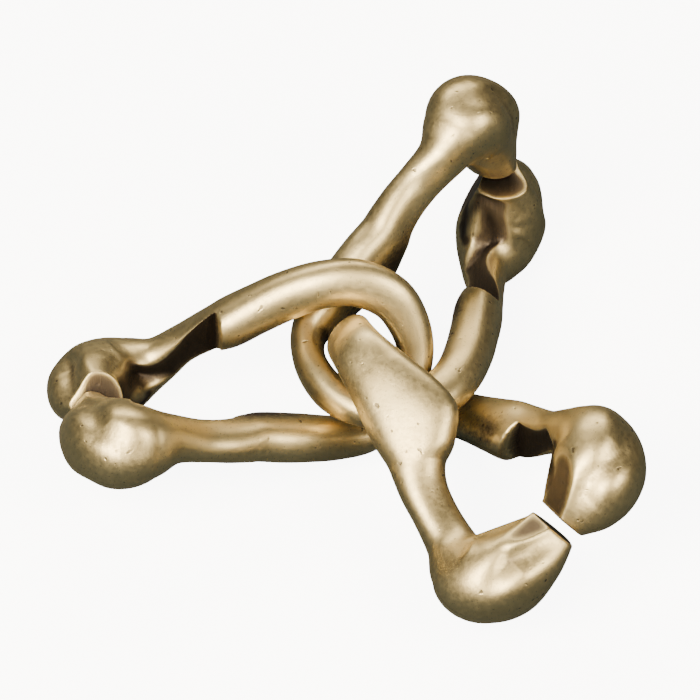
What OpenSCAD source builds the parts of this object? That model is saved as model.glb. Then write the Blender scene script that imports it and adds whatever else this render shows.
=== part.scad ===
// Interlocked metal ring puzzle: three identical cast links.
// Each link is one bent strap. It starts at a face in the head gap, swells into
// a ball head, runs back along the smooth arm, turns through the round bend,
// returns along the notched arm and ends at the second head, across the gap.
// The strap also twists, so the heads sit one above the other while the arms
// sit side by side. Each link is threaded through the other two.
// Millimetres, +Z up. Origin: on the table, under the middle of the puzzle.

/* [Link] */
// Length of one link, from the back of its bend to the tip of its heads
link_length = 57; // [45:1:70]
// Width of the narrow gap between the two heads
gap = 1.7; // [1:0.1:3]
// Thickness of the strap, as a share of the cast size
strap_size = 1; // [0.8:0.02:1.04]
// Size of the ball heads, as a share of the cast size
head_size = 1; // [0.85:0.01:1.05]

/* [Notch] */
// Distance from the origin of the link to the shoulder of the notch
notch_start = 27.5; // [26:0.5:30]
// Depth of the flat, measured down from the arm's centre line
notch_level = 1.4; // [0.5:0.1:3]

/* [Resting position] */
// Turn of the whole puzzle about the vertical
puzzle_turn = 0; // [-180:5:180]

/* [Hidden] */
cast_length = 57;
unit = link_length / cast_length;
sub_steps = 2;
ring_points = 24;
// Corner fullness of the strap's section: 2 is an ellipse, more is squarer
fullness = 2.2;
// Height of the middle of the gap in the link's own frame
gap_z = 1.15;

// The casting, from the first gap face to the second.
// [x, y, z, lean, half width up, half width down, half thickness, point, twist]
// x runs from the bend to the heads, y from arm to arm, z from head to head.
// lean turns the width from up (0) to along the link (90).
// point draws the outer end of a section in towards the tip of the heads.
// twist turns the section about the strap's own direction.
lower_head = [
    [48.0, -1.0, gap_z - gap / 2, -90, 3.7, 3.7, 4.4, -0.6, 0],
    [48.3, -1.6, -4.5, -80, 5.0, 5.0, 5.7, -0.3, 0],
    [47.2, -2.0, -9.0, -62, 6.1, 6.1, 6.4, 0, 0],
    [44.4, -2.2, -12.3, -38, 6.3, 6.3, 6.4, 0, 0],
    [41.0, -2.4, -12.4, -24, 4.9, 4.9, 5.2, 0, 0],
];
smooth_arm = [
    [37.4, -2.8, -11.2, -15, 3.8, 3.6, 3.5, 0, 15],
    [33.4, -4.0, -9.7, -15, 3.5, 3.3, 2.6, 0, 28],
    [29.6, -5.0, -8.2, -12, 3.7, 3.4, 2.7, 0, 24],
    [26.8, -5.6, -6.8, -7, 4.6, 3.5, 3.0, 0, 12],
    [24.6, -6.0, -5.6, -4, 7.2, 3.7, 3.2, 0, 0],
    [21.5, -6.8, -4.2, -2, 9.2, 4.2, 3.3, 0, 0],
    [18.0, -7.6, -2.8, -2, 8.4, 4.3, 3.3, 0, 0],
    [13.0, -8.6, -1.2, -2, 6.3, 3.9, 3.1, 0, 0],
];
bend = [
    [8.0, -8.9, 0.0, 0, 4.7, 3.6, 2.6, 0, 0],
    [3.8, -6.4, 0.4, 0, 4.2, 3.5, 2.4, 0, 0],
    [0.8, -2.0, 0.4, 0, 3.8, 3.4, 2.5, 0, 0],
    [-0.4, 2.5, 0.0, 0, 2.8, 2.8, 2.7, 0, 0],
    [0.3, 7.0, -0.5, 0, 2.3, 2.3, 3.1, 0, 0],
    [2.5, 11.0, -0.8, 0, 2.1, 2.1, 3.4, 0, 0],
];
notched_arm = [
    [7.0, 13.6, 0.0, 0, 2.8, 2.6, 3.5, 0, 0],
    [12.0, 13.8, 1.4, 0, 3.2, 3.3, 3.5, 0, 0],
    [17.0, 12.6, 3.0, 0, 3.6, 3.6, 3.6, 0, 0],
    [21.5, 10.9, 4.6, 0, 4.0, 4.2, 3.6, 0, 0],
    [25.5, 9.2, 6.2, 0, 4.2, 4.8, 3.6, 0, 0],
    [29.0, 7.9, 8.0, 0, 3.6, 4.2, 3.0, 0, 0],
    [32.5, 6.2, 9.8, 0, 3.0, 3.3, 2.8, 0, 0],
    [36.0, 4.0, 11.4, 4, 3.3, 3.3, 3.5, 0, 0],
];
upper_head = [
    [39.4, 2.8, 12.4, 14, 4.8, 4.8, 5.0, 0, 0],
    [42.6, 2.0, 12.5, 30, 6.3, 6.3, 6.2, 0, 0],
    [45.9, 1.7, 10.1, 54, 6.7, 6.7, 6.5, 0, 0],
    [47.0, 1.6, 6.4, 70, 5.9, 5.9, 6.0, 0.3, 0],
    [46.5, 1.2, gap_z + gap / 2, 90, 3.8, 3.8, 4.5, 0.6, 0],
];

// One size factor for each station, in the same order
gains = [
    for (s = lower_head) head_size,
    for (s = concat(smooth_arm, bend, notched_arm)) strap_size,
    for (s = upper_head) head_size,
];
stations = concat(lower_head, smooth_arm, bend, notched_arm, upper_head);
last = len(stations) - 1;
first_notch_station = len(concat(lower_head, smooth_arm, bend)) + 4;

// A smooth curve through the stations, and its direction of travel
function at(i) = stations[max(0, min(last, i))];
function size_at(i) = gains[max(0, min(last, i))];
function smooth(a, b, c, d, t) =
    0.5 * (2 * b + (c - a) * t + (2 * a - 5 * b + 4 * c - d) * t * t
    + (3 * b - a - 3 * c + d) * t * t * t);
function slope(a, b, c, d, t) =
    0.5 * ((c - a) + 2 * (2 * a - 5 * b + 4 * c - d) * t
    + 3 * (3 * b - a - 3 * c + d) * t * t);
function row(i, t) = smooth(at(i - 1), at(i), at(i + 1), at(i + 2), t);
function travel(i, t) =
    let (d = slope(at(i - 1), at(i), at(i + 1), at(i + 2), t))
    (i == 0 && t == 0) || (i == last) ? [0, 0, -1] : [d[0], d[1], d[2]];

function unit_vector(v) = v / norm(v);
function square_to(v, t) = unit_vector(v - (v * t) * t);
function swell(c) = sign(c) * pow(abs(c), 2 / fullness);

// A flat cut: a point past the plane is moved straight back onto it
function cut(p, on, facing) = p - max(0, (p - on) * facing) * facing;
notch_facing = unit_vector([0, -0.55, -0.84]);
notch_on = [notch_start, 7.9, 7.6] + notch_level * notch_facing;
notch_end = 40;
function in_notch(s) = s > notch_start && s < notch_end;
function trimmed(p, s, upper) = upper && in_notch(s) ? cut(p, notch_on, notch_facing) : p;

// One ring of points around the strap
function ring(i, t) =
    let (r = row(i, t))
    let (g = size_at(i) * (1 - t) + size_at(i + 1) * t)
    let (along = unit_vector(travel(i, t)))
    let (upward = square_to([sin(r[3]), 0, cos(r[3])], along))
    let (inward = cross(along, upward))
    let (wide = cos(r[8]) * upward + sin(r[8]) * inward)
    let (thick = cos(r[8]) * inward - sin(r[8]) * upward)
    [for (k = [0 : ring_points - 1])
        let (a = 360 * k / ring_points)
        let (half_width = cos(a) > 0 ? r[4] : r[5])
        let (draw_in = 1 - abs(r[7]) * max(0, sign(r[7]) * cos(a)))
        let (p = [r[0], r[1], r[2]] + g * half_width * swell(cos(a)) * wide
            + g * r[6] * draw_in * swell(sin(a)) * thick)
        unit * trimmed(p, r[0], i >= first_notch_station)];

rings = [
    for (i = [0 : last - 1]) for (k = [0 : sub_steps - 1]) ring(i, k / sub_steps),
    ring(last, 0),
];
ring_count = len(rings);
link_points = [for (r = rings) for (p = r) p];
link_faces = concat(
    [[for (k = [0 : ring_points - 1]) k]],
    [for (i = [0 : ring_count - 2]) for (k = [0 : ring_points - 1])
        let (a = i * ring_points + k)
        let (b = i * ring_points + (k + 1) % ring_points)
        [a, a + ring_points, b + ring_points, b]],
    [[for (k = [ring_points - 1 : -1 : 0]) (ring_count - 1) * ring_points + k]]
);

module link() {
    polyhedron(points = link_points, faces = link_faces, convexity = 6);
}

module place(turn, at) {
    rotate([0, 0, puzzle_turn])
        translate(unit * at)
            rotate(turn)
                link();
}

// Lies on its smooth arm, heads to the left
module left_link() {
    color([0.72, 0.62, 0.38])
        place(turn = [124.5, 0.5, -169], at = [10.5, 2.5, 12.5]);
}

// Lies on its notched arm, heads away
module back_link() {
    color([0.66, 0.57, 0.36])
        place(turn = [180, -8.5, 59.5], at = [-1.2, -3.0, 12.5]);
}

// Stands over the other two, heads to the front right
module right_link() {
    color([0.78, 0.68, 0.43])
        place(turn = [-55, -1, -52.5], at = [1.2, 5.7, 14.3]);
}

left_link();
back_link();
right_link();
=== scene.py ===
"""Interlocked metal ring puzzle: the looks of its three cast links.

The three links are one casting, so one surface is built in the link's own
frame, in millimetres, and placed three times where the frame has its links.
x runs from the bend to the heads, y from the smooth arm to the notched arm,
z from the lower head to the upper head. The mesh carries masks that say where
the patina, the painted shade, the flats and the worn edges are, and the brass material reads them.
"""
import math

import bmesh
import bpy
import numpy as np
from mathutils import Euler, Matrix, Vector


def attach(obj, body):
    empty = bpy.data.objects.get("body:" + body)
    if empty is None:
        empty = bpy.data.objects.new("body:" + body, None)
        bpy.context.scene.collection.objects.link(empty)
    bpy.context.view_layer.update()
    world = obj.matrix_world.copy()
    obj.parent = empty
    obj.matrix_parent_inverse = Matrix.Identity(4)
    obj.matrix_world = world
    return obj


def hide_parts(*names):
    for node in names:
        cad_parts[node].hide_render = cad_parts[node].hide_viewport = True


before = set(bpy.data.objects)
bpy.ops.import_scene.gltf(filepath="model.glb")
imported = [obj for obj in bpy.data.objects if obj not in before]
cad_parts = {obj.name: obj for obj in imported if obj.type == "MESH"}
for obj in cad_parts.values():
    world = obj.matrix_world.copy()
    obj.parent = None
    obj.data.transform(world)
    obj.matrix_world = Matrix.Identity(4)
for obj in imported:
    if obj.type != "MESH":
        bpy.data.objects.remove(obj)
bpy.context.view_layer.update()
MM = 0.001

# ---------------------------------------------------------------- the casting
GAP_Z = 1.15  # height of the middle of the gap between the heads
GAP = 1.7
RING_POINTS = 64
SUB_STEPS = 8  # rings from one station to the next
FULLNESS = 2.2  # corners of the strap's section: 2 is an ellipse, more is squarer
EXTRA = 0.35  # metal left on each gap face until it is trimmed
SKIN = 0.3  # size of one quad of the skin
WEB_SHARE = 0.93  # size of a web's ends, as a share of the rings that it joins

# Centre x, y, z, lean of the width in degrees, half width up, half width down,
# half thickness, point, twist in degrees
LOWER_HEAD = [
    [48.0, -1.0, GAP_Z - GAP / 2, -90, 3.7, 3.7, 4.4, -0.6, 0],
    [48.3, -1.6, -4.5, -80, 5.0, 5.0, 5.7, -0.3, 0],
    [47.2, -2.0, -9.0, -62, 6.1, 6.1, 6.4, 0, 0],
    [44.4, -2.2, -12.3, -38, 6.3, 6.3, 6.4, 0, 0],
    [41.0, -2.4, -12.4, -24, 4.9, 4.9, 5.2, 0, 0],
]
SMOOTH_ARM = [
    [37.4, -2.8, -11.2, -15, 3.8, 3.6, 3.5, 0, 15],
    [33.4, -4.0, -9.7, -15, 3.5, 3.3, 2.6, 0, 28],
    [29.6, -5.0, -8.2, -12, 3.7, 3.4, 2.7, 0, 24],
    [26.8, -5.6, -6.8, -7, 4.6, 3.5, 3.0, 0, 12],
    [24.6, -6.0, -5.6, -4, 7.2, 3.7, 3.2, 0, 0],
    [21.5, -6.8, -4.2, -2, 9.2, 4.2, 3.3, 0, 0],
    [18.0, -7.6, -2.8, -2, 8.4, 4.3, 3.3, 0, 0],
    [13.0, -8.6, -1.2, -2, 6.3, 3.9, 3.1, 0, 0],
]
BEND = [
    [8.0, -8.9, 0.0, 0, 4.7, 3.6, 2.6, 0, 0],
    [3.8, -6.4, 0.4, 0, 4.2, 3.5, 2.4, 0, 0],
    [0.8, -2.0, 0.4, 0, 3.8, 3.4, 2.5, 0, 0],
    [-0.4, 2.5, 0.0, 0, 2.8, 2.8, 2.7, 0, 0],
    [0.3, 7.0, -0.5, 0, 2.3, 2.3, 3.1, 0, 0],
    [2.5, 11.0, -0.8, 0, 2.1, 2.1, 3.4, 0, 0],
]
NOTCHED_ARM = [
    [7.0, 13.6, 0.0, 0, 2.8, 2.6, 3.5, 0, 0],
    [12.0, 13.8, 1.4, 0, 3.2, 3.3, 3.5, 0, 0],
    [17.0, 12.6, 3.0, 0, 3.6, 3.6, 3.6, 0, 0],
    [21.5, 10.9, 4.6, 0, 4.0, 4.2, 3.6, 0, 0],
    [25.5, 9.2, 6.2, 0, 4.2, 4.8, 3.6, 0, 0],
    [29.0, 7.9, 8.0, 0, 3.6, 4.2, 3.0, 0, 0],
    [32.5, 6.2, 9.8, 0, 3.0, 3.3, 2.8, 0, 0],
    [36.0, 4.0, 11.4, 4, 3.3, 3.3, 3.5, 0, 0],
]
UPPER_HEAD = [
    [39.4, 2.8, 12.4, 14, 4.8, 4.8, 5.0, 0, 0],
    [42.6, 2.0, 12.5, 30, 6.3, 6.3, 6.2, 0, 0],
    [45.9, 1.7, 10.1, 54, 6.7, 6.7, 6.5, 0, 0],
    [47.0, 1.6, 6.4, 70, 5.9, 5.9, 6.0, 0.3, 0],
    [46.5, 1.2, GAP_Z + GAP / 2, 90, 3.8, 3.8, 4.5, 0.6, 0],
]
STATIONS = np.array(LOWER_HEAD + SMOOTH_ARM + BEND + NOTCHED_ARM + UPPER_HEAD)
LAST = len(STATIONS) - 1
HEAD_STATIONS = len(LOWER_HEAD)

# Where each link lies in the frame: turn in degrees about x, y, z, then shift
PLACES = {
    "left_link": ((124.5, 0.5, -169), (10.5, 2.5, 12.5)),
    "back_link": ((180, -8.5, 59.5), (-1.2, -3.0, 12.5)),
    "right_link": ((-55, -1, -52.5), (1.2, 5.7, 14.3)),
}

# Valleys on the lower head: directions from its centre, half width, depth.
# The upper head has the same ones, half a turn over.
LOWER_CENTRE = [45.6, -2.0, -8.3]
UPPER_CENTRE = [46.0, 1.7, 8.8]
VALLEYS = [
    ([[0.5, -0.15, 0.86], [0.6, -0.74, 0.3], [0.57, -0.72, -0.42]], 1.5, 1.4),
    ([[0.44, 0.52, 0.74], [0.42, 0.88, -0.1], [0.3, 0.4, -0.86], [-0.24, 0, -0.97]], 1.6, 1.1),
]

# Flats, each a point on the plane and the way that the plane faces
NOTCH_START = 27.5
NOTCH_LEVEL = 1.4
NOTCH_FACING = [0, -0.55, -0.84]
LOWER_FLAT = ([47, -6.3, -3.1], [0, -0.86, 0.5])
UPPER_FLAT = ([46, -3.2, 6.0], [-0.2, -0.88, -0.42])
LOWER_FACE = ([48, 0, GAP_Z - GAP / 2], [0, 0, 1])
UPPER_FACE = ([48, 0, GAP_Z + GAP / 2], [0, 0, -1])
NOTCH_EDGE, FLAT_EDGE, FACE_EDGE = 0.3, 0.25, 0.2  # radius of each one's edge

# The root of the upper head, past the end of the notch, which gets painted shade; and the middle
# of the loop, whose facing sides get painted shade
ROOT = [40.5, 2.0, 6.0]
ROOT_FACING = [-0.71, -0.485, -0.51]
LOOP_MIDDLE = [24.0, 2.0, 0.5]


def unit(v):
    v = np.asarray(v, float)
    return v / np.linalg.norm(v, axis=-1, keepdims=True)


def ease(x, lo, hi):
    """0 below lo, 1 above hi, smooth between."""
    t = np.clip((x - lo) / (hi - lo), 0, 1)
    return t * t * (3 - 2 * t)


def spline(i, t):
    """The row of station values at t between stations i and i + 1, and its slope."""
    a, b, c, d = (STATIONS[min(max(k, 0), LAST)] for k in (i - 1, i, i + 1, i + 2))
    value = 0.5 * (
        2 * b + (c - a) * t + (2 * a - 5 * b + 4 * c - d) * t**2
        + (3 * b - a - 3 * c + d) * t**3
    )
    slope = 0.5 * (
        (c - a) + 2 * (2 * a - 5 * b + 4 * c - d) * t
        + 3 * (3 * b - a - 3 * c + d) * t**2
    )
    return value, slope


def soft_cut(p, on, facing, radius, where):
    """Moves points past a plane back onto it, with a rounded edge of that radius.

    Also gives how far each point counts as lying on the cut, from 0 to 1."""
    facing = unit(facing)
    past = (p - np.array(on)) @ facing
    push = np.where(
        past > radius, past, np.where(past < -radius, 0, (past + radius) ** 2 / (4 * radius))
    )
    return p - (push * where)[:, None] * facing, where * ease(past, -0.1, 0.25)


def swept_strap():
    """The bare strap, closed at both ends, with a web inside the bend of each head."""
    angle = np.arange(RING_POINTS) * 2 * math.pi / RING_POINTS
    c, s = np.cos(angle), np.sin(angle)
    swell_c = np.sign(c) * np.abs(c) ** (2 / FULLNESS)
    swell_s = np.sign(s) * np.abs(s) ** (2 / FULLNESS)
    rings = []
    for step in range(LAST * SUB_STEPS + 1):
        i = min(step // SUB_STEPS, LAST - 1)
        r, slope = spline(i, step / SUB_STEPS - i)
        at_end = step in (0, LAST * SUB_STEPS)
        along = np.array([0, 0, -1.0]) if at_end else unit(slope[:3])
        lean, twist = math.radians(r[3]), math.radians(r[8])
        wide = np.array([math.sin(lean), 0, math.cos(lean)])
        wide = unit(wide - (wide @ along) * along)
        thick = np.cross(along, wide)
        wide, thick = (
            math.cos(twist) * wide + math.sin(twist) * thick,
            math.cos(twist) * thick - math.sin(twist) * wide,
        )
        draw_in = 1 - abs(r[7]) * np.maximum(0, np.sign(r[7]) * c)
        width = np.where(c > 0, r[4], r[5])
        rings.append(
            r[:3] + (width * swell_c)[:, None] * wide
            + (r[6] * draw_in * swell_s)[:, None] * thick
        )
    webs = [
        web(rings[0], rings[HEAD_STATIONS * SUB_STEPS - 3]),
        web(rings[-1], rings[(LAST - HEAD_STATIONS) * SUB_STEPS + 5]),
    ]
    # a little extra at each gap face, trimmed to the exact face later
    rings = [rings[0] + [0, 0, EXTRA]] + rings + [rings[-1] - [0, 0, EXTRA]]
    faces = [tuple(range(RING_POINTS))]
    for i in range(len(rings) - 1):
        a = i * RING_POINTS
        for k in range(RING_POINTS):
            n = (k + 1) % RING_POINTS
            faces.append((a + k, a + RING_POINTS + k, a + RING_POINTS + n, a + n))
    last_ring = (len(rings) - 1) * RING_POINTS
    faces.append(tuple(last_ring + k for k in reversed(range(RING_POINTS))))
    points = np.concatenate(rings)
    for corners, sides in webs:
        faces += [tuple(len(points) + k for k in side) for side in sides]
        points = np.concatenate([points, corners])
    return points, faces


def web(gap_ring, neck_ring):
    """A straight bar from a neck to its gap face, to close the fold in the head's bend."""
    shape = bmesh.new()
    for ring in (gap_ring, neck_ring):
        middle = ring.mean(axis=0)
        for point in middle + WEB_SHARE * (ring - middle):
            shape.verts.new(tuple(point))
    hull = bmesh.ops.convex_hull(shape, input=list(shape.verts))
    shape.verts.index_update()
    sides = [f for f in hull["geom"] if isinstance(f, bmesh.types.BMFace)]
    corners = np.array([v.co[:] for v in shape.verts])
    indices = [tuple(v.index for v in f.verts) for f in sides]
    shape.free()
    return corners, indices


def remeshed(verts, faces, size):
    """An even skin of small quads over the strap, with its self-overlaps merged."""
    mesh = bpy.data.meshes.new("strap")
    mesh.from_pydata([tuple(v) for v in verts], [], faces)
    strap = bpy.data.objects.new("strap", mesh)
    bpy.context.collection.objects.link(strap)
    skin = strap.modifiers.new("skin", "REMESH")
    skin.mode = "VOXEL"
    skin.voxel_size = size
    view = bpy.context.evaluated_depsgraph_get()
    result = bpy.data.meshes.new_from_object(strap.evaluated_get(view))
    bpy.data.objects.remove(strap)
    points = np.empty(len(result.vertices) * 3)
    result.vertices.foreach_get("co", points)
    edges = np.empty(len(result.edges) * 2, dtype=int)
    result.edges.foreach_get("vertices", edges)
    quads = [tuple(p.vertices) for p in result.polygons]
    bpy.data.meshes.remove(result)
    return points.reshape(-1, 3), edges.reshape(-1, 2), quads


def blurred(values, edges, times, strength=0.5):
    """The values drawn towards their neighbours along the edges, so many times."""
    count = np.bincount(edges.ravel(), minlength=len(values)).astype(float)
    v = values.copy()
    for _ in range(times):
        total = np.zeros_like(v)
        np.add.at(total, edges[:, 0], v[edges[:, 1]])
        np.add.at(total, edges[:, 1], v[edges[:, 0]])
        mean = total / (count[:, None] if v.ndim == 2 else count)
        v += strength * (mean - v)
    return v


def evened(points, edges, times):
    """Smooths out the steps of the skin without shrinking it."""
    for _ in range(times):
        points = blurred(points, edges, 1, 0.6)
        points = blurred(points, edges, 1, -0.62)
    return points


def normals_of(points, quads):
    """The way each point of the skin faces."""
    a = np.array(quads)
    cross = np.cross(points[a[:, 2]] - points[a[:, 0]], points[a[:, 3]] - points[a[:, 1]])
    total = np.zeros_like(points)
    for k in range(4):
        np.add.at(total, a[:, k], cross)
    return unit(total + 1e-12)


def groove(points, centre, path, half_width, depth, where):
    """Presses a soft valley into a ball head, along directions from its centre.

    Also gives how far each point counts as lying in the valley, from 0 to 1."""
    path = unit(np.array(path, float))
    line = []
    for a, b in zip(path[:-1], path[1:]):
        line += [unit(a * (1 - t) + b * t) for t in np.linspace(0, 1, 12, endpoint=False)]
    line = np.array(line + [path[-1]])
    fade = np.sin(np.linspace(0.08, math.pi - 0.08, len(line))) ** 0.7
    out = points - np.array(centre)
    reach = np.linalg.norm(out, axis=1)
    out = out / reach[:, None]
    near = where > 0
    apart = np.arccos(np.clip(out[near] @ line.T, -1, 1)) * reach[near][:, None]
    press = np.zeros(len(points))
    press[near] = (np.exp(-((apart / half_width) ** 2) / 2) * fade).max(axis=1)
    return points - (press * depth * where)[:, None] * out, press * where


def filled(points, edges, quads, where, rounds):
    """Fills the sharp folds inside a tight bend up to a soft hollow."""
    for _ in range(rounds):
        normal = normals_of(points, quads)
        lift = np.einsum("ij,ij->i", blurred(points, edges, 40) - points, normal)
        points = points + (np.clip(lift - 0.02, 0, None) * where)[:, None] * normal
    return points


def turned_over(v):
    """The matching place on the other head: the two are half a turn apart about x."""
    return [v[0], -v[1], -v[2]]


def bare_skin():
    """The strap's skin, with its steps smoothed out and the folds in its heads filled."""
    points, edges, quads = remeshed(*swept_strap(), SKIN)
    points = evened(points, edges, 8)
    x = points[:, 0]
    points = filled(points, edges, quads, ease(x, 36, 39) * (1 - ease(x, 46, 47)), 4)
    return evened(points, edges, 4), edges, quads


def with_valleys(points, lower, upper):
    """Valleys that run over each head from its tip."""
    sunk = np.zeros(len(points))
    for path, half_width, depth in VALLEYS:
        upper_path = [turned_over(v) for v in path]
        points, press = groove(points, LOWER_CENTRE, path, half_width, depth, lower)
        sunk = np.maximum(sunk, press)
        points, press = groove(points, UPPER_CENTRE, upper_path, half_width, depth, upper)
        sunk = np.maximum(sunk, press)
    return points, sunk


def link_mesh():
    """One link: its points, its quads, and a mask of values at the points by name."""
    points, edges, quads = bare_skin()
    x, y, z = points.T
    head = ease(x, 35.5, 39)
    lower = head * (z < GAP_Z)
    upper = head * (z > GAP_Z)
    points, sunk = with_valleys(points, lower, upper)

    # the notch: a flat from its shoulder to the root of the upper head; the flat and the root also
    # get painted shade
    facing = unit(NOTCH_FACING)
    on = np.array([NOTCH_START, 7.9, 7.6]) + NOTCH_LEVEL * facing
    shoulder = ease(x, NOTCH_START - 0.2, NOTCH_START + 0.2)
    arm = ease(y, 0.5, 2.0) * (z > 0) * shoulder * (1 - ease(x, 39, 42))
    points, notch = soft_cut(points, on, facing, NOTCH_EDGE, arm)
    # painted shade on the root of the upper head, where it faces back into the bend
    root = np.linalg.norm(points - np.array(ROOT), axis=1)
    facing_root = blurred(normals_of(points, quads) @ unit(ROOT_FACING), edges, 3)
    root_shade = ease(facing_root, 0.3, 0.7) * (1 - ease(root, 4.5, 7.0)) * upper
    notch = np.maximum(notch, root_shade)

    # a flat on each head, on the smooth arm's side, beside the gap
    points, lower_flat = soft_cut(points, *LOWER_FLAT, FLAT_EDGE, lower)
    points, upper_flat = soft_cut(points, *UPPER_FLAT, FLAT_EDGE, upper)
    flats = np.maximum(notch, np.maximum(lower_flat, upper_flat))

    # the two gap faces
    points, lower_face = soft_cut(points, *LOWER_FACE, FACE_EDGE, lower)
    points, upper_face = soft_cut(points, *UPPER_FACE, FACE_EDGE, upper)
    faces = np.maximum(lower_face, upper_face)

    # hollow is above 0 in hollows and below 0 on edges; the next mask is painted shade on the
    # sides that face the loop's middle
    normal = normals_of(points, quads)
    hollow = np.einsum("ij,ij->i", blurred(points, edges, 30) - points, normal)
    hollow = blurred(hollow, edges, 4)
    inward = unit(np.array(LOOP_MIDDLE) - points)
    inner_shade = np.clip(np.einsum("ij,ij->i", inward, normal), 0, 1) * (1 - ease(x, 34, 42))
    masks = {
        "hollow": np.clip(hollow * 4, -1, 1),
        "inner_shade": blurred(inner_shade, edges, 4),
        "brushed": blurred(np.maximum(flats, faces), edges, 1),
        # painted shade: the notch flat, the root of the upper head and the two gap faces
        "notch": blurred(np.maximum(notch, faces), edges, 2),
        "flat": blurred(flats, edges, 1),
        "sunk": sunk,
    }
    return points, quads, masks


# ------------------------------------------------------------------ materials
GOLD_LIGHT = (0.76, 0.625, 0.36, 1)
GOLD_DARK = (0.60, 0.48, 0.265, 1)
BRONZE = (0.155, 0.12, 0.086, 1)
BROWN = (0.055, 0.043, 0.037, 1)
DIRT = (0.10, 0.08, 0.065, 1)


class Nodes:
    """Short ways to add shader nodes to one material or world."""

    def __init__(self, owner):
        owner.use_nodes = True
        self.tree = owner.node_tree
        self.tree.nodes.clear()

    def add(self, kind, inputs=None, **settings):
        node = self.tree.nodes.new(kind)
        for key, value in settings.items():
            setattr(node, key, value)
        for key, value in (inputs or {}).items():
            if isinstance(value, bpy.types.NodeSocket):
                self.tree.links.new(value, node.inputs[key])
            else:
                node.inputs[key].default_value = value
        return node

    def math(self, operation, a, b=0.0, clamp=False):
        node = self.add("ShaderNodeMath", {0: a, 1: b}, operation=operation, use_clamp=clamp)
        return node.outputs[0]

    def remap(self, value, lo, hi, to_lo=0.0, to_hi=1.0):
        node = self.add(
            "ShaderNodeMapRange",
            {"Value": value, "From Min": lo, "From Max": hi, "To Min": to_lo, "To Max": to_hi},
        )
        return node.outputs["Result"]

    def mix(self, factor, a, b):
        node = self.add("ShaderNodeMix", data_type="RGBA")
        for socket, value in zip((node.inputs[0], node.inputs[6], node.inputs[7]), (factor, a, b)):
            if isinstance(value, bpy.types.NodeSocket):
                self.tree.links.new(value, socket)
            else:
                socket.default_value = value
        return node.outputs[2]

    def mask(self, name):
        return self.add("ShaderNodeAttribute", attribute_name=name).outputs["Fac"]

    def noise(self, vector, scale, detail=3.0, roughness=0.5):
        return self.add(
            "ShaderNodeTexNoise",
            {"Vector": vector, "Scale": scale, "Detail": detail, "Roughness": roughness},
        ).outputs["Fac"]


def antique_brass(name, seed):
    """Satin brass with brown wax in its hollows, worn bright on its edges, with painted shade
    browning the loop's inner sides, the notch, the root of the upper head and the gap faces.
    """
    material = bpy.data.materials.new(name)
    n = Nodes(material)
    where = n.add("ShaderNodeTexCoord").outputs["Object"]
    place = n.add(
        "ShaderNodeMapping", {"Vector": where, "Location": (seed, seed * 0.7, 0)}
    ).outputs[0]
    hollow, inner_shade, brushed, notch, flat, sunk = (
        n.mask(m) for m in ("hollow", "inner_shade", "brushed", "notch", "flat", "sunk")
    )
    cloud = n.noise(place, 110, 3, 0.5)
    grain = n.noise(place, 1400, 4, 0.65)
    speck = n.noise(place, 3000, 2, 0.5)
    pit = n.noise(place, 900, 1, 0.4)

    # how much brown patina and painted shade lies at a point
    patina_and_shade = n.math("MULTIPLY", n.math("MAXIMUM", hollow, 0.0), 0.9)
    # painted shade: the sides that face the loop's middle are browned and darkened
    patina_and_shade = n.math("ADD", patina_and_shade, n.math("MULTIPLY", inner_shade, 0.85))
    patina_and_shade = n.math("ADD", patina_and_shade, n.math("MULTIPLY", sunk, 0.12))
    patina_and_shade = n.math("ADD", patina_and_shade, n.remap(cloud, 0.4, 0.75, -0.05, 0.22))
    patina_and_shade = n.math("ADD", patina_and_shade, n.remap(grain, 0.35, 0.7, -0.10, 0.13))
    patina_and_shade = n.math("MAXIMUM", patina_and_shade, n.math("MULTIPLY", flat, 0.66))
    # painted shade: the notch flat, the root of the upper head and the gap faces are browned
    # almost to the darkest brown
    patina_and_shade = n.math("MAXIMUM", patina_and_shade, n.math("MULTIPLY", notch, 0.95))
    worn = n.math("MULTIPLY", hollow, -1.6, clamp=True)
    patina_and_shade = n.math("SUBTRACT", patina_and_shade, n.math("MULTIPLY", worn, 0.7), clamp=True)

    gold = n.mix(n.remap(cloud, 0.3, 0.7), GOLD_LIGHT, GOLD_DARK)
    bronze = n.mix(n.remap(patina_and_shade, 0.2, 0.62), gold, BRONZE)
    brown = n.mix(n.remap(patina_and_shade, 0.6, 1.0), bronze, BROWN)
    dots = n.remap(speck, 0.62, 0.72, 0.0, 0.35)
    dots = n.math("MAXIMUM", dots, n.remap(pit, 0.73, 0.77, 0.0, 0.7))
    colour = n.mix(dots, brown, DIRT)

    rough = n.remap(patina_and_shade, 0, 1, 0.40, 0.50)
    rough = n.math("ADD", rough, n.remap(grain, 0.3, 0.7, -0.05, 0.06))

    # cast grain, pits, and the strokes left by finishing the flats
    strokes = n.add(
        "ShaderNodeMapping",
        {"Vector": where, "Rotation": (0.5, 0.3, 0.8), "Scale": (4200, 260, 260)},
    ).outputs[0]
    stroke = n.noise(strokes, 1.0, 2, 0.6)
    stroke = n.math("MULTIPLY", stroke, n.remap(brushed, 0.2, 0.8, 0.12, 1.0))
    height = n.math("ADD", n.math("MULTIPLY", grain, 0.5), n.math("MULTIPLY", stroke, 1.3))
    height = n.math("SUBTRACT", height, n.remap(pit, 0.71, 0.78, 0.0, 0.9))
    bump = n.add(
        "ShaderNodeBump", {"Height": height, "Strength": 0.35, "Distance": 0.00012}
    ).outputs[0]
    shader = n.add(
        "ShaderNodeBsdfPrincipled",
        {"Base Color": colour, "Roughness": rough, "Normal": bump, "Metallic": 1.0},
    )
    n.add("ShaderNodeOutputMaterial", {"Surface": shader.outputs[0]})
    return material


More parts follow.
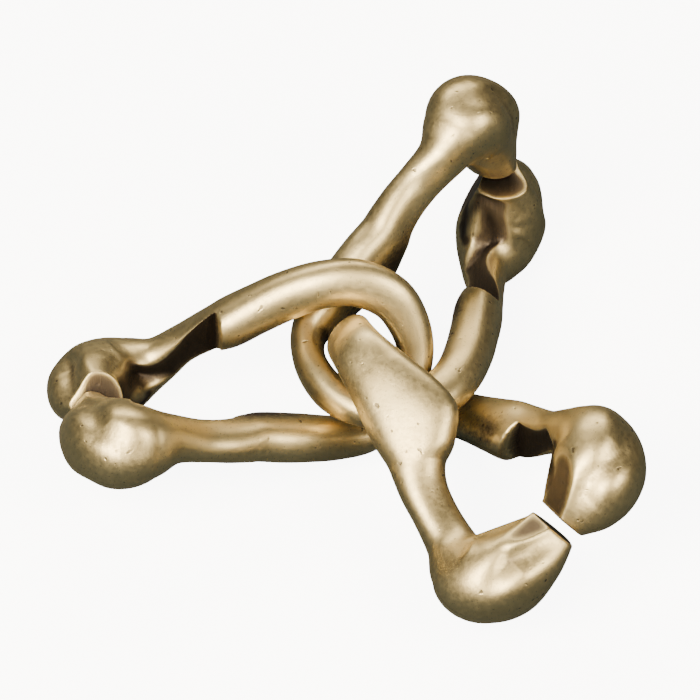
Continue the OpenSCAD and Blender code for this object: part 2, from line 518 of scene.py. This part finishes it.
# ----------------------------------------------------------------- the pieces
verts, faces, masks = link_mesh()
for number, (link, (turn, shift)) in enumerate(PLACES.items()):
    turned = Euler([math.radians(a) for a in turn], "XYZ").to_matrix()
    world = (verts @ np.array(turned).T + np.array(shift)) * MM
    mesh = bpy.data.meshes.new(link + "_casting")
    mesh.from_pydata([tuple(v) for v in world], [], faces)
    mesh.polygons.foreach_set("use_smooth", [True] * len(mesh.polygons))
    for name, values in masks.items():
        layer = mesh.attributes.new(name, "FLOAT", "POINT")
        layer.data.foreach_set("value", np.array(values, dtype=np.float32))
    mesh.update()
    casting = bpy.data.objects.new(link + "_casting", mesh)
    bpy.context.collection.objects.link(casting)
    mesh.materials.append(antique_brass(link + "_brass", 0.13 * (number + 1)))
    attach(casting, link)
    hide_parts(link)

# ------------------------------------------------------------------ the stage
# The floor and the world look pale to the camera and dim to the metal, so that
# the metal has something dark to reflect beside the lamps.
FLOOR_RADIUS = 2.0
FLOOR_SIDES = 96
SEEN_STRENGTH = 8.0
floor_mesh = bpy.data.meshes.new("floor")
turns = [2 * math.pi * k / FLOOR_SIDES for k in range(FLOOR_SIDES)]
rim = [(FLOOR_RADIUS * math.cos(turn), FLOOR_RADIUS * math.sin(turn), 0) for turn in turns]
floor_mesh.from_pydata(rim, [], [tuple(range(FLOOR_SIDES))])
floor = bpy.data.objects.new("floor", floor_mesh)
bpy.context.collection.objects.link(floor)
paper = bpy.data.materials.new("floor_paper")
paper_nodes = Nodes(paper)
paper_pale = paper_nodes.add(
    "ShaderNodeBsdfPrincipled",
    {"Base Color": (0.85, 0.85, 0.85, 1), "Roughness": 0.9,
     "Emission Color": (1, 1, 1, 1), "Emission Strength": SEEN_STRENGTH},
)
paper_dim = paper_nodes.add("ShaderNodeBsdfDiffuse", {"Color": (0.03, 0.042, 0.06, 1)})
paper_ray = paper_nodes.add("ShaderNodeLightPath")
paper_mix = paper_nodes.add(
    "ShaderNodeMixShader",
    {0: paper_ray.outputs["Is Camera Ray"], 1: paper_dim.outputs[0], 2: paper_pale.outputs[0]},
)
paper_nodes.add("ShaderNodeOutputMaterial", {"Surface": paper_mix.outputs[0]})
floor_mesh.materials.append(paper)

world = bpy.data.worlds.new("studio")
bpy.context.scene.world = world
world.use_nodes = True
sky = Nodes(world)
sky_ray = sky.add("ShaderNodeLightPath")
sky_shade = sky.add("ShaderNodeBackground", {"Color": (0.7, 0.86, 1, 1), "Strength": 0.03})
sky_seen = sky.add(
    "ShaderNodeBackground", {"Color": (1, 1, 1, 1), "Strength": SEEN_STRENGTH}
)
sky_mix = sky.add(
    "ShaderNodeMixShader",
    {0: sky_ray.outputs["Is Camera Ray"], 1: sky_shade.outputs[0], 2: sky_seen.outputs[0]},
)
sky.add("ShaderNodeOutputWorld", {"Surface": sky_mix.outputs[0]})


LAMP_COLOUR = (1.0, 0.88, 0.62)


def softbox(name, at, aim, size, power):
    """A rectangular lamp at one place, aimed at another."""
    light = bpy.data.lights.new(name, "AREA")
    light.shape = "RECTANGLE"
    light.size, light.size_y = size
    light.energy = power
    light.color = LAMP_COLOUR
    lamp = bpy.data.objects.new(name, light)
    bpy.context.collection.objects.link(lamp)
    lamp.location = at
    lamp.rotation_euler = (Vector(aim) - Vector(at)).to_track_quat("-Z", "Y").to_euler()


centre = Vector((0, 0, 0.012))
softbox("key", (-0.38, -0.52, 0.70), centre, (0.55, 0.5), 24)
softbox("right", (0.50, -0.40, 0.60), centre, (0.35, 0.35), 7)
softbox("back", (-0.10, 0.60, 0.60), centre, (0.8, 0.25), 5)

# ----------------------------------------------------------------- the camera
ELEVATION = math.radians(47)
AIM = Vector((0.0011, 0.0095, 0.0085))
DISTANCE = 1.05
camera_data = bpy.data.cameras.new("camera")
camera = bpy.data.objects.new("camera", camera_data)
bpy.context.collection.objects.link(camera)
camera.location = AIM + DISTANCE * Vector((0, -math.cos(ELEVATION), math.sin(ELEVATION)))
camera.rotation_euler = (AIM - camera.location).to_track_quat("-Z", "Y").to_euler()
camera_data.sensor_width = 36
camera_data.lens = 368
camera_data.clip_start = 0.01
bpy.context.scene.camera = camera
